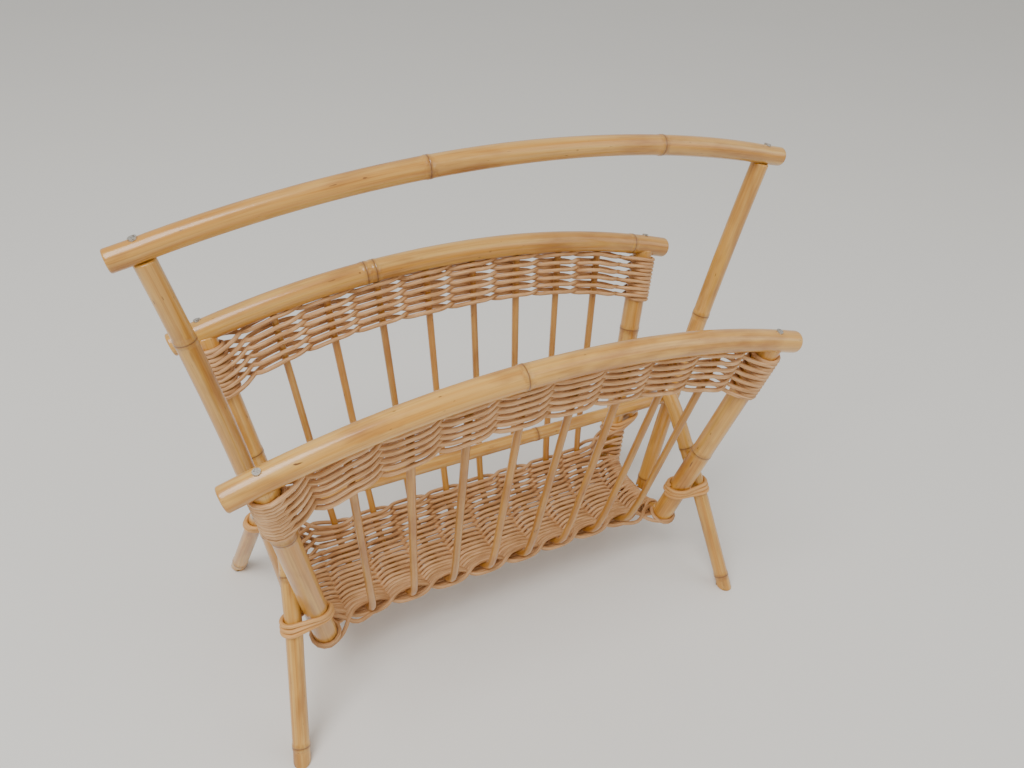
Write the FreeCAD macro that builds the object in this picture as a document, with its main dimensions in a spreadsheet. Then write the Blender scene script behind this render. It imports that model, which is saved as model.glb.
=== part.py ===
import FreeCAD, Part
import math
import os

# A cane magazine rack, in millimetres. +X runs along the rack, +Y to its rear and +Z up.
# The origin is on the floor, midway between the four feet.
# Two leaning panels and the tray between them are woven on eight bent stakes. An arch of
# bent cane at each end carries the panels, and a bowed carry handle stands over the middle.

SIZES = {
    # top rails of the two panels: bowed poles
    "rail_half": 205.0,
    "rail_rise": 31.0,
    "rail_end_height": 242.6,
    "rail_spread": 82.3,
    "rail_dia": 17.0,
    # carry handle: a longer bowed pole over the middle
    "handle_half": 230.7,
    "handle_rise": 29.7,
    "handle_end_height": 350.3,
    "handle_dia": 14.0,
    # end posts of the panels, straight from a square-cut foot to the rail
    "post_dia": 17.0,
    "post_foot_across": 149.5,
    "post_foot_spread": 42.7,
    "post_foot_height": 50.7,
    "post_top_across": 183.5,
    # posts of the carry handle, a little bowed
    "handle_post_dia": 13.4,
    "handle_post_foot_across": 161.5,
    "handle_post_foot_height": 46.0,
    "handle_post_top_across": 214.2,
    "handle_post_bow": 5.1,
    # pole between the handle posts
    "stretcher_dia": 10.5,
    "stretcher_height": 147.0,
    # stakes: each one bent from the front rail, under the tray, to the rear rail
    "stake_dia": 5.8,
    "stake_tray_pitch": 32.0,
    "stake_rail_pitch": 38.8,
    "stake_tenon": 5.0,
    # section of the tray: a flat floor between two bends
    "tray_floor_height": 46.0,
    "tray_corner_spread": 41.7,
    "tray_bend_radius": 40.0,
    "tray_rear_angle": 66.0,
    "tray_front_angle": 45.0,
    "tray_rear_wrap": 32.0,
    "tray_front_wrap": 7.0,
    # bent rib that closes each end of the tray
    "rib_dia": 8.0,
    "rib_across": 147.5,
    "rib_angle": 46.0,
    # weave under the rails
    "strand_dia": 2.8,
    "band_middle_depth": 41.0,
    "band_end_depth": 46.0,
    # arches: each one a bent cane with its two feet on the floor
    "leg_dia": 12.4,
    "foot_across": 188.5,
    "foot_spread": 99.0,
    "lash_height": 89.0,
    "lash_spread": 54.0,
    "leg_gap": 0.6,
    "arch_top_radius": 18.0,
    "leg_bend_radius": 45.0,
    # bindings that tie the arches to the end posts
    "binding_height": 11.0,
    "binding_thickness": 3.0,
    # nails
    "nail_dia": 2.0,
    "nail_head_dia": 5.0,
    "nail_head_thickness": 1.2,
    "nail_sink": 0.5,
    "nail_length": 24.0,
    "foot_nail_rise": 9.0,
    # room left round a piece that another one wraps
    "fit_gap": 0.2,
}

STAKES = 8
ENDS = {"left": -1, "right": 1}
PANELS = {"front": -1, "rear": 1}
UP = FreeCAD.Vector(0, 0, 1)

doc = FreeCAD.newDocument("magazine_rack")
sheet = doc.addObject("Spreadsheet::Sheet", "Sizes")
for row, (alias, value) in enumerate(SIZES.items(), start=1):
    sheet.set("A%d" % row, alias)
    sheet.set("B%d" % row, str(value))
    sheet.setAlias("B%d" % row, alias)
doc.recompute()

pieces = []


def size(alias):
    """The value of a cell of the sheet."""
    return float(sheet.get(alias))


def vector(across, deep, high):
    return FreeCAD.Vector(across, deep, high)


# ---- document objects ---------------------------------------------------------------------

def add(kind, label, sizes=None, placement=None):
    """Add an object, and bind its sizes to the sheet."""
    item = doc.addObject(kind, label)
    item.Label = label
    for name, expression in (sizes or {}).items():
        item.setExpression(name, expression)
    if placement is not None:
        item.Placement = placement
    return item


def add_shape(label, shape):
    """A path or an outline that another object is made from."""
    item = add("Part::Feature", label)
    item.Shape = shape
    return item


def along(start, direction):
    """A placement at start, with its Z axis along direction."""
    return FreeCAD.Placement(start, FreeCAD.Rotation(UP, direction))


def pole(label, path, radius):
    """A round cane along a wire. Its radius is an expression of the sheet's sizes."""
    first = path.Edges[0]
    start = path.OrderedVertexes[0].Point
    direction = first.tangentAt(first.FirstParameter)
    section = add("Part::Circle", label + "_section", {"Radius": radius}, along(start, direction))
    sweep = add("Part::Sweep", label)
    sweep.Sections = [section]
    sweep.Spine = (add_shape(label + "_path", path), ["Edge%d" % (n + 1) for n in range(len(path.Edges))])
    sweep.Solid = True
    return sweep


def rod(label, start, direction, radius, length):
    """A straight round rod from start. Its radius and length are expressions."""
    return add("Part::Cylinder", label, {"Radius": radius, "Height": length}, along(start, direction))


def group(label, members):
    item = add("Part::Compound", label)
    item.Links = members
    return item


def cut(label, base, *tool_groups):
    """Base without the tools. The tools of one group stand clear of each other."""
    for number, tools in enumerate(tool_groups, start=1):
        last = number == len(tool_groups)
        step = add("Part::Cut", label if last else "%s_step_%d" % (label, number))
        step.Base = base
        step.Tool = group("%s_tools_%d" % (label, number), tools)
        base = step
    return base


def fuse(label, members):
    """All the members as one solid, joined one after another."""
    base = members[0]
    for number, member in enumerate(members[1:], start=1):
        last = number == len(members) - 1
        step = add("Part::Fuse", label if last else "%s_step_%d" % (label, number))
        step.Base = base
        step.Tool = member
        base = step
    return base


def keep(item):
    """Count an object as a piece of the rack."""
    pieces.append(item)
    return item


# ---- curves -------------------------------------------------------------------------------

def bent_path(corners, radii):
    """A wire of straight runs from corner to corner, with a tangent arc at each inner one."""
    edges = []
    start = corners[0]
    for before, corner, after, radius in zip(corners, corners[1:], corners[2:], radii):
        back = (before - corner).normalize()
        onward = (after - corner).normalize()
        half_turn = (math.pi - back.getAngle(onward)) / 2
        reach = radius * math.tan(half_turn)
        middle = corner + (back + onward).normalize() * (radius / math.cos(half_turn) - radius)
        edges.append(Part.LineSegment(start, corner + back * reach).toShape())
        edges.append(Part.Arc(corner + back * reach, middle, corner + onward * reach).toShape())
        start = corner + onward * reach
    edges.append(Part.LineSegment(start, corners[-1]).toShape())
    return Part.Wire(edges)


def bow_height(across, half, rise, end_height):
    """Height of a bowed pole's axis at a distance from its middle."""
    radius = (half ** 2 + rise ** 2) / (2 * rise)
    return end_height + rise - radius + math.sqrt(radius ** 2 - across ** 2)


def rail_height(across):
    return bow_height(across, size("rail_half"), size("rail_rise"), size("rail_end_height"))


def handle_height(across):
    return bow_height(across, size("handle_half"), size("handle_rise"), size("handle_end_height"))


def bow_path(half, spread, height):
    """The axis of a bowed pole. Height gives its level at a distance from the middle."""
    points = [vector(across, spread, height(across)) for across in (-half, 0, half)]
    return Part.Wire(Part.Arc(*points).toShape())


def straight_path(start, end):
    return Part.Wire(Part.LineSegment(start, end).toShape())


# ---- rails, handle and their posts --------------------------------------------------------

def rail_path(panel):
    return bow_path(size("rail_half"), panel * size("rail_spread"), rail_height)


def post_axis(end, panel):
    """Foot and top of an end post's axis. The top is on the rail's axis."""
    foot = vector(end * size("post_foot_across"), panel * size("post_foot_spread"), size("post_foot_height"))
    top_across = size("post_top_across")
    top = vector(end * top_across, panel * size("rail_spread"), rail_height(top_across))
    return foot, top


def post_point(end, panel, height):
    """The point of an end post's axis at a height."""
    foot, top = post_axis(end, panel)
    return foot + (top - foot) * ((height - foot.z) / (top.z - foot.z))


def handle_post_arc(end):
    """The bowed axis of a handle post, from its foot to the handle's axis."""
    foot = vector(end * size("handle_post_foot_across"), 0, size("handle_post_foot_height"))
    top_across = size("handle_post_top_across")
    top = vector(end * top_across, 0, handle_height(top_across))
    chord = (top - foot).normalize()
    inward = vector(-end * chord.z, 0, end * chord.x)
    middle = (foot + top) * 0.5 + inward * size("handle_post_bow")
    return Part.Arc(foot, middle, top)


def handle_post_across(height):
    """Distance of a handle post's axis from the middle of the rack at a height."""
    circle = handle_post_arc(1).toShape().Curve
    rise = height - circle.Center.z
    return circle.Center.x - math.sqrt(circle.Radius ** 2 - rise ** 2)


def handle_post_path(end):
    return Part.Wire(handle_post_arc(end).toShape())


# ---- stakes, ribs and the section of the tray ---------------------------------------------

def tray_corner(across, panel):
    """Where a stake's side and the level of the tray's floor would meet without the bend."""
    return vector(across, panel * size("tray_corner_spread"), size("tray_floor_height"))


def stake_path(number):
    """The axis of a stake: from the front rail, under the tray and up into the rear rail."""
    place = number - (STAKES + 1) / 2
    low_across = place * size("stake_tray_pitch")
    top_across = place * size("stake_rail_pitch")
    corners = [tray_corner(low_across, panel) for panel in PANELS.values()]
    tips = []
    for panel, corner in zip(PANELS.values(), corners):
        top = vector(top_across, panel * size("rail_spread"), rail_height(top_across))
        rise = (top - corner).normalize()
        tips.append(top - rise * (size("rail_dia") / 2 - size("stake_tenon")))
    return bent_path([tips[0], *corners, tips[1]], [size("tray_bend_radius")] * 2)


def side_slope():
    """Mean lean of the stakes' sides: how far they go outwards for their rise."""
    mean_across = size("stake_rail_pitch") * STAKES / 4
    rise = rail_height(mean_across) - size("tray_floor_height")
    return (size("rail_spread") - size("tray_corner_spread")) / rise


def bend_centre(panel):
    """Centre of the arc between the tray's floor and a panel."""
    radius = size("tray_bend_radius")
    half_turn = (math.pi / 2 - math.atan(side_slope())) / 2
    spread = size("tray_corner_spread") - radius * math.tan(half_turn)
    return vector(0, panel * spread, size("tray_floor_height") + radius)


def bend_point(panel, angle, outside):
    """A point of the tray's section, at an angle from the bottom of a bend, in degrees."""
    reach = size("tray_bend_radius") + outside
    turn = math.radians(angle)
    return bend_centre(panel) + vector(0, panel * reach * math.sin(turn), -reach * math.cos(turn))


def rib_path(end):
    """The axis of a rib: the tray's section between the feet of the two end posts."""
    half_turn = math.radians(size("rib_angle")) / 2
    reach = size("tray_bend_radius") * math.tan(half_turn)
    points = []
    for panel in PANELS.values():
        corner = bend_point(panel, 0, 0) + vector(0, panel * reach, 0)
        tip = bend_point(panel, size("rib_angle"), 0)
        points.append((tip + (tip - corner).normalize() * size("post_dia") / 4, corner))
    corners = [points[0][0], points[0][1], points[1][1], points[1][0]]
    path = bent_path(corners, [size("tray_bend_radius")] * 2)
    path.translate(vector(end * size("rib_across"), 0, 0))
    return path


def weave_half_thickness():
    """A stake with a strand on each face, halved."""
    return size("stake_dia") / 2 + size("strand_dia")


def tray_outline():
    """Section of the tray's weave, from its front edge round the bottom to its rear edge."""
    half = weave_half_thickness()
    angles = {PANELS["front"]: size("tray_front_angle"), PANELS["rear"]: size("tray_rear_angle")}
    edges = []
    for outside in (half, -half):
        for panel, angle in angles.items():
            points = [bend_point(panel, share * angle, outside) for share in (0, 0.5, 1)]
            edges.append(Part.Arc(*points).toShape())
        floor = [bend_point(panel, 0, outside) for panel in angles]
        edges.append(Part.LineSegment(*floor).toShape())
    for panel, angle in angles.items():
        rim = [bend_point(panel, angle, outside) for outside in (half, -half)]
        edges.append(Part.LineSegment(*rim).toShape())
    return Part.Face(Part.Wire(Part.__sortEdges__(edges)))


# ---- arches -------------------------------------------------------------------------------

def arch_path(end):
    """The axis of an arch: foot, lashing, top, lashing, foot, with the feet's ends below the floor."""
    top = arch_top(end)
    rise = top.z - size("lash_height")
    corner_rise = arch_slope(rise, size("lash_spread")) * size("lash_spread")
    lash = lash_point(end, vector(top.x, 0, top.z - rise + corner_rise))
    corner = vector(lash.x + (top.x - lash.x) * corner_rise / rise, 0, lash.z + corner_rise)
    foot = vector(end * size("foot_across"), size("foot_spread"), 0)
    foot = foot + (foot - lash).normalize() * size("leg_dia")
    rear_side = [corner, lash, foot]
    front_side = [vector(point.x, -point.y, point.z) for point in (foot, lash)]
    radii = [size("leg_bend_radius"), size("arch_top_radius"), size("leg_bend_radius")]
    return bent_path(front_side + rear_side, radii)


def arch_top(end):
    """The top of an arch's axis: over the stretcher, against the inner side of the handle post."""
    height = size("stretcher_height") + (size("stretcher_dia") + size("leg_dia")) / 2 + size("fit_gap")
    across = handle_post_across(height)
    lean = across - handle_post_across(height - 1)
    reach = (size("handle_post_dia") + size("leg_dia")) / 2 + size("fit_gap")
    return vector(end * (across - reach * math.hypot(1, lean)), 0, height)


def arch_slope(rise, spread):
    """The slope of an arch's straight sides that puts its rounded top at a rise over its lashings."""
    radius = size("arch_top_radius")
    slope = rise / spread
    for _ in range(60):
        slope = (rise + radius * (math.hypot(1, slope) - 1)) / spread
    return slope


def lash_point(end, corner):
    """Where an arch's axis passes its lashing, clear of the outer side of the post up to the corner."""
    post = post_point(end, PANELS["rear"], size("lash_height"))
    post_foot, post_top = post_axis(end, PANELS["rear"])
    reach = (size("post_dia") + size("leg_dia")) / 2 + size("leg_gap")
    lash = vector(post.x + end * reach, size("lash_spread"), post.z)
    between = (post_top - post_foot).cross(corner - lash)
    across = (reach * between.Length - (lash.y - post.y) * between.y * end) / abs(between.x)
    return vector(post.x + end * across, lash.y, lash.z)


def lashed_spot(edge):
    """The middle of an edge, and the direction in which it climbs there."""
    middle = (edge.FirstParameter + edge.LastParameter) / 2
    direction = edge.tangentAt(middle)
    return edge.valueAt(middle), direction if direction.z > 0 else direction * -1


def belt_outline(post, post_radius, leg, leg_radius, axis):
    """A belt round two circles, drawn square to an axis through the post's centre."""
    across = leg - post
    across = (across - axis * across.dot(axis))
    reach = across.Length
    across.normalize()
    beside = axis.cross(across)
    spread = math.acos((post_radius - leg_radius) / reach)

    def rim(centre, radius, angle):
        return centre + across * (radius * math.cos(angle)) + beside * (radius * math.sin(angle))

    far = post + across * reach
    post_arc = Part.Arc(*[rim(post, post_radius, angle) for angle in (spread, math.pi, -spread)])
    leg_arc = Part.Arc(*[rim(far, leg_radius, angle) for angle in (-spread, 0, spread)])
    edges = [post_arc.toShape(), leg_arc.toShape()]
    for angle in (spread, -spread):
        edges.append(Part.LineSegment(rim(post, post_radius, angle), rim(far, leg_radius, angle)).toShape())
    return Part.Face(Part.Wire(Part.__sortEdges__(edges)))


# ---- canes as they grow, before their joints are cut ---------------------------------------

def radius_of(name, extra=""):
    return "Sizes.%s_dia / 2%s" % (name, extra)


WRAPPED = " + Sizes.fit_gap"

PLACES = [(panel, end) for panel in PANELS for end in ENDS]

rails = {}
rail_rooms = {}
for panel, direction in PANELS.items():
    rails[panel] = pole(panel + "_rail_cane", rail_path(direction), radius_of("rail"))
    rail_rooms[panel] = pole(panel + "_rail_room", rail_path(direction), radius_of("rail", WRAPPED))

handle_path = bow_path(size("handle_half"), 0, handle_height)
handle = pole("carry_handle_cane", handle_path, radius_of("handle"))

posts = {}
post_rooms = {}
for panel, end in PLACES:
    label = "%s_post_%s" % (panel, end)
    path = straight_path(*post_axis(ENDS[end], PANELS[panel]))
    posts[panel, end] = pole(label + "_cane", path, radius_of("post"))
    post_rooms[panel, end] = pole(label + "_room", path, radius_of("post", WRAPPED))

handle_posts = {}
arches = {}
ribs = {}
rib_rooms = {}
for end, direction in ENDS.items():
    handle_posts[end] = pole("handle_post_%s_cane" % end, handle_post_path(direction), radius_of("handle_post"))
    arches[end] = pole("leg_arch_%s_cane" % end, arch_path(direction), radius_of("leg"))
    ribs[end] = pole("end_rib_%s_cane" % end, rib_path(direction), radius_of("rib"))
    rib_rooms[end] = pole("end_rib_%s_room" % end, rib_path(direction), radius_of("rib", WRAPPED))

stakes = []
stake_rooms = []
for number in range(1, STAKES + 1):
    stakes.append(pole("stake_%d" % number, stake_path(number), radius_of("stake")))
    stake_rooms.append(pole("stake_%d_room" % number, stake_path(number), radius_of("stake", WRAPPED)))


# ---- nails --------------------------------------------------------------------------------

def nail(label, surface, inward):
    """A nail driven inward at a point of a cane's surface, its head sunk a little."""
    sink = size("nail_sink")
    head = rod(label + "_head", surface - inward * (size("nail_head_thickness") - sink), inward,
               "Sizes.nail_head_dia / 2", "Sizes.nail_head_thickness")
    shank = rod(label + "_shank", surface + inward * sink, inward,
                "Sizes.nail_dia / 2", "Sizes.nail_length")
    return fuse(label, [head, shank])


def nail_into_post(panel, end):
    """Down through the rail, along the end post."""
    foot, top = post_axis(ENDS[end], PANELS[panel])
    inward = (foot - top).normalize()
    return nail("rail_nail_%s_%s" % (panel, end), top - inward * (size("rail_dia") / 2), inward)


def nail_into_handle_post(end):
    """Down through the handle, along the handle post."""
    curve = handle_post_path(ENDS[end]).Edges[0]
    inward = curve.tangentAt(curve.LastParameter) * -1
    top = curve.valueAt(curve.LastParameter)
    return nail("handle_nail_%s" % end, top - inward * (size("handle_dia") / 2), inward)


def nail_into_arch(end):
    """Level, through the arch's top into the handle post."""
    outward = vector(ENDS[end], 0, 0)
    return nail("arch_nail_%s" % end, arch_top(ENDS[end]) - outward * (size("leg_dia") / 2), outward)


def nail_into_stretcher(end):
    """Level, through the handle post into the end of the stretcher."""
    height = size("stretcher_height")
    surface = handle_post_across(height) + size("handle_post_dia") / 2
    return nail("stretcher_nail_%s" % end, vector(ENDS[end] * surface, 0, height), vector(-ENDS[end], 0, 0))


def nail_into_rib(end):
    """Aslant, through the foot of the handle post into the rib beside it."""
    height = size("handle_post_foot_height") + size("foot_nail_rise")
    surface = handle_post_across(height) + size("handle_post_dia") / 2
    target = vector(ENDS[end] * size("rib_across"), 0, size("tray_floor_height"))
    start = vector(ENDS[end] * surface, 0, height)
    return nail("foot_nail_%s" % end, start, (target - start).normalize())


rail_nails = {place: nail_into_post(*place) for place in PLACES}
handle_nails = {end: nail_into_handle_post(end) for end in ENDS}
arch_nails = {end: nail_into_arch(end) for end in ENDS}
stretcher_nails = {end: nail_into_stretcher(end) for end in ENDS}
foot_nails = {end: nail_into_rib(end) for end in ENDS}

keep(group("rail_nails", list(rail_nails.values())))
keep(group("handle_nails", list(handle_nails.values())))
keep(group("arch_nails", list(arch_nails.values())))
keep(group("stretcher_nails", list(stretcher_nails.values())))
keep(group("foot_nails", list(foot_nails.values())))


# ---- frame --------------------------------------------------------------------------------

for panel, rail in rails.items():
    nails = [rail_nails[panel, end] for end in ENDS]
    keep(cut(panel + "_rail", rail, stake_rooms, nails))

keep(cut("carry_handle", handle, list(handle_nails.values())))

for panel, end in PLACES:
    label = "%s_post_%s" % (panel, end)
    keep(cut(label, posts[panel, end], [rails[panel]], [rail_nails[panel, end]]))

for end in ENDS:
    nails = [handle_nails[end], arch_nails[end], stretcher_nails[end], foot_nails[end]]
    keep(cut("handle_post_" + end, handle_posts[end], [handle], nails))

stretcher_reach = handle_post_across(size("stretcher_height"))
stretcher = pole(
    "centre_stretcher_cane",
    straight_path(*[vector(side * stretcher_reach, 0, size("stretcher_height")) for side in ENDS.values()]),
    radius_of("stretcher"),
)
keep(cut("centre_stretcher", stretcher, list(handle_posts.values()), list(stretcher_nails.values())))

ground_reach = size("foot_across") + size("foot_spread")
ground = add(
    "Part::Box",
    "ground",
    {"Length": "2 * (Sizes.foot_across + Sizes.foot_spread)",
     "Width": "2 * (Sizes.foot_across + Sizes.foot_spread)",
     "Height": "4 * Sizes.leg_dia"},
    FreeCAD.Placement(vector(-ground_reach, -ground_reach, -4 * size("leg_dia")), FreeCAD.Rotation()),
)
for end in ENDS:
    keep(cut("leg_arch_" + end, arches[end], [ground], [arch_nails[end]]))

for stake in stakes:
    keep(stake)

for end in ENDS:
    feet = [posts[panel, end] for panel in PANELS]
    keep(cut("end_rib_" + end, ribs[end], feet, [foot_nails[end]]))


# ---- weave under the rails ----------------------------------------------------------------

def rail_bow_centre(panel):
    """Centre of the rail's bow."""
    half = size("rail_half")
    rise = size("rail_rise")
    height = size("rail_end_height") + rise - (half ** 2 + rise ** 2) / (2 * rise)
    return vector(0, panel * size("rail_spread"), height)


def band_section(panel):
    """Section of a band of weave at its middle, hanging from the rail's axis down the stakes."""
    top = vector(0, panel * size("rail_spread"), rail_height(0))
    down = vector(0, -panel * side_slope(), -1)
    beside = vector(0, 1, -panel * side_slope()).normalize() * weave_half_thickness()
    bottom = top + down * (size("band_end_depth") + size("rail_dia"))
    corners = [top - beside, top + beside, bottom + beside, bottom - beside]
    return Part.Face(Part.makePolygon(corners + corners[:1]))


def band_end_across():
    """Distance from the middle at which the band reaches the end posts."""
    return size("post_top_across") - size("band_end_depth") * post_lean() / 2


def post_lean():
    """How far an end post goes along the rack for its rise."""
    foot, top = post_axis(1, 1)
    return (top.x - foot.x) / (top.z - foot.z)


def band_bottom_cylinder(label, panel):
    """The round that the band's bottom edge follows, from post to post."""
    across = band_end_across()
    middle = rail_height(0) - size("band_middle_depth")
    rise = middle - (rail_height(across) - size("band_end_depth"))
    radius = (across ** 2 + rise ** 2) / (2 * rise)
    reach = 2 * size("rail_spread")
    start = vector(0, panel * size("rail_spread") - reach, middle - radius)
    item = add("Part::Cylinder", label, None, along(start, vector(0, 1, 0)))
    item.Radius = radius
    item.Height = 2 * reach
    return item


def band(panel):
    """Strands woven on the stakes under a rail and wound round the end posts."""
    label = panel + "_band"
    centre = rail_bow_centre(PANELS[panel])
    turn = math.degrees(math.asin(band_end_across() / (rail_height(0) - centre.z)))
    hoop = add("Part::Revolution", label + "_hoop")
    hoop.Source = add_shape(label + "_section", band_section(PANELS[panel]))
    hoop.Axis = vector(0, 1, 0)
    hoop.Base = centre
    hoop.Angle = 2 * turn
    hoop.Symmetric = True
    hoop.Solid = True
    strip = cut(label + "_strip", hoop, [band_bottom_cylinder(label + "_bottom", PANELS[panel])])
    sleeves = []
    for end, side in ENDS.items():
        top = post_axis(side, PANELS[panel])[1]
        start = post_point(side, PANELS[panel], rail_height(band_end_across()) - size("band_end_depth"))
        path = straight_path(start, top)
        sleeves.append(pole("%s_sleeve_%s" % (label, end), path, radius_of("post", " + Sizes.strand_dia")))
    rooms = [post_rooms[panel, end] for end in ENDS]
    blank = fuse(label + "_blank", [strip, *sleeves])
    return cut(panel + "_band_weave", blank, [rail_rooms[panel]], rooms + stake_rooms)


for panel in PANELS:
    keep(band(panel))


# ---- tray ---------------------------------------------------------------------------------

def sleeve_on_foot(panel, end, length):
    """Strands wound round an end post from its foot up. The length is an expression."""
    foot, top = post_axis(ENDS[end], PANELS[panel])
    label = "tray_sleeve_%s_%s" % (panel, end)
    return rod(label, foot, top - foot, radius_of("post", " + Sizes.strand_dia"), length)


tray_sheet = add(
    "Part::Extrusion",
    "tray_sheet",
    {"LengthFwd": "Sizes.rib_across + Sizes.rib_dia / 2 + Sizes.strand_dia",
     "LengthRev": "Sizes.rib_across + Sizes.rib_dia / 2 + Sizes.strand_dia"},
)
tray_sheet.Base = add_shape("tray_section", tray_outline())
tray_sheet.DirMode = "Custom"
tray_sheet.Dir = vector(1, 0, 0)
tray_sheet.Solid = True

wraps = {"front": "Sizes.tray_front_wrap", "rear": "Sizes.tray_rear_wrap"}
tray_sleeves = [sleeve_on_foot(panel, end, wraps[panel]) for panel, end in PLACES]
tray_blank = fuse("tray_blank", [tray_sheet, *tray_sleeves])
keep(cut(
    "tray_weave",
    tray_blank,
    list(post_rooms.values()),
    list(rib_rooms.values()),
    stake_rooms,
    list(foot_nails.values()),
))


# ---- bindings -----------------------------------------------------------------------------

def binding(panel, end):
    """Strands wound round an arch and an end post where they cross."""
    label = "lashing_%s_%s" % (panel, end)
    bends = [edge for edge in arch_path(ENDS[end]).Edges if edge.Curve.TypeId == "Part::GeomCircle"]
    bend = bends[0] if panel == "front" else bends[-1]
    leg, leg_climb = lashed_spot(bend)
    foot, top = post_axis(ENDS[end], PANELS[panel])
    post = post_point(ENDS[end], PANELS[panel], leg.z)
    axis = ((top - foot).normalize() + leg_climb).normalize()
    thickness = size("binding_thickness")
    outline = belt_outline(
        post, size("post_dia") / 2 + thickness, leg, size("leg_dia") / 2 + thickness, axis)
    belt = add(
        "Part::Extrusion",
        label + "_belt",
        {"LengthFwd": "Sizes.binding_height / 2", "LengthRev": "Sizes.binding_height / 2"},
    )
    belt.Base = add_shape(label + "_outline", outline)
    belt.DirMode = "Custom"
    belt.Dir = axis
    belt.Solid = True
    return cut(label, belt, [posts[panel, end]], [arches[end]])


for panel, end in PLACES:
    keep(binding(panel, end))


# ---- check and write ----------------------------------------------------------------------

doc.recompute()

for item in doc.Objects:
    if "Invalid" in item.State or "Error" in item.State:
        raise RuntimeError("%s was not built: %s" % (item.Label, item.State))
for piece in pieces:
    if piece.Shape.isNull() or not piece.Shape.isValid():
        raise RuntimeError("%s has no valid shape" % piece.Label)

os.makedirs("parts", exist_ok=True)
for piece in pieces:
    piece.Shape.exportStep(os.path.join("parts", piece.Label + ".step"))
    print("%-24s %2d solids %9.1f mm3" % (piece.Label, len(piece.Shape.Solids), piece.Shape.Volume))
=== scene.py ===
import math
import random

import bpy
import numpy as np
from bpy.props import FloatProperty, FloatVectorProperty, IntProperty, PointerProperty
from mathutils import Matrix, Vector
from mathutils.kdtree import KDTree


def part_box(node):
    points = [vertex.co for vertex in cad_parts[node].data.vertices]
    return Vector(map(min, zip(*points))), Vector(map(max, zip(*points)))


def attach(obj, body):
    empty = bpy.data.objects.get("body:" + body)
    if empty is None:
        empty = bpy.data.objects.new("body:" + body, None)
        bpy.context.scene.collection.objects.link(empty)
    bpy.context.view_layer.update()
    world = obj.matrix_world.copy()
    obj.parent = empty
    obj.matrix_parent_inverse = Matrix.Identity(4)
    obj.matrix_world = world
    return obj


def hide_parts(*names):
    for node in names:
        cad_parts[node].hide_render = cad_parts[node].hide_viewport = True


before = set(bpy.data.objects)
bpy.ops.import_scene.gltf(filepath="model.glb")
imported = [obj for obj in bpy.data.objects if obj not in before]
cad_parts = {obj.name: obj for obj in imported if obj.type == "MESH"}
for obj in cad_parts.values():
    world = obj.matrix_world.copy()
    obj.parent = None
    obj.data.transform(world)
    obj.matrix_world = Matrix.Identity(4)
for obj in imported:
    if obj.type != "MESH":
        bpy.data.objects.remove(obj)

bl_info = {
    "name": "Cane Magazine Rack",
    "version": (1, 0, 0),
    "blender": (4, 5, 0),
    "location": "View3D > Sidebar > Magazine Rack",
    "description": "Models the canes, the twined weave, the lashings and the stage of "
                   "a magazine rack",
    "category": "Object",
}

BODY = "root"
ENDS = ("left", "right")
PANELS = {"front": -1, "rear": 1}
STAKES = ["stake_%d" % (number + 1) for number in range(8)]
MM = 0.001
X, Y, Z = range(3)
BLACK = (0, 0, 0, 1)
WHITE = (1, 1, 1, 1)
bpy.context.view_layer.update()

# growth joints, by their place along the rack or their height
HANDLE_JOINTS = (-51 * MM, 118 * MM)
RAIL_JOINTS = {"front": (-23 * MM,), "rear": (-66 * MM, -59 * MM, 169 * MM)}
HANDLE_POST_JOINTS = {"left": (295 * MM, 128 * MM), "right": (225 * MM, 58 * MM)}
POST_JOINTS = {("front", "left"): 193 * MM, ("front", "right"): 133 * MM,
               ("rear", "left"): 150 * MM, ("rear", "right"): 176 * MM}
FOOT_JOINT = 11 * MM
# and by their share of the stretcher's length, and of half an arch's
STRETCHER_JOINT = 0.62
ARCH_JOINT = 0.72


# ---- colours -------------------------------------------------------------------------------

def linear(hex_colour):
    """A linear colour with alpha from an sRGB hex value."""
    channels = [int(hex_colour[start:start + 2], 16) / 255 for start in (1, 3, 5)]
    return [value / 12.92 if value <= 0.04045 else ((value + 0.055) / 1.055) ** 2.4
            for value in channels] + [1.0]


def colour_property(name, description, hex_colour):
    return FloatVectorProperty(name=name, description=description, subtype="COLOR", size=4,
                               min=0.0, max=1.0, default=linear(hex_colour))


def length_property(name, description, default):
    return FloatProperty(name=name, description=description, default=default, unit="LENGTH",
                         precision=4)


def angle_property(name, description, default):
    return FloatProperty(name=name, description=description, default=default, subtype="ANGLE")


def power_property(name, description, default):
    return FloatProperty(name=name, description=description, default=default, subtype="POWER")


# ---- what a user would change --------------------------------------------------------------

class RackCaneSettings(bpy.types.PropertyGroup):
    """Looks of the poles, arches, stakes and ribs"""
    joint_swell: length_property(
        "Joint swell", "How far a growth joint stands out of a cane", 0.7 * MM)
    joint_reach: length_property(
        "Joint reach", "How far a growth joint's swelling runs each way", 4.5 * MM)
    end_round: length_property("End rounding", "Radius worn on a cane's cut ends", 1.3 * MM)
    wobble: length_property("Wobble", "Unevenness of a cane's thickness", 0.16 * MM)
    light: colour_property("Light cane", "Pale streaks under the varnish", "#EABB63")
    middle: colour_property("Cane", "Body colour of the varnished cane", "#D89838")
    dark: colour_property("Dark cane", "Amber patches where the varnish is thick", "#A3641C")
    joint: colour_property("Joint", "Rim of a growth joint and old marks", "#74481C")


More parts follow.
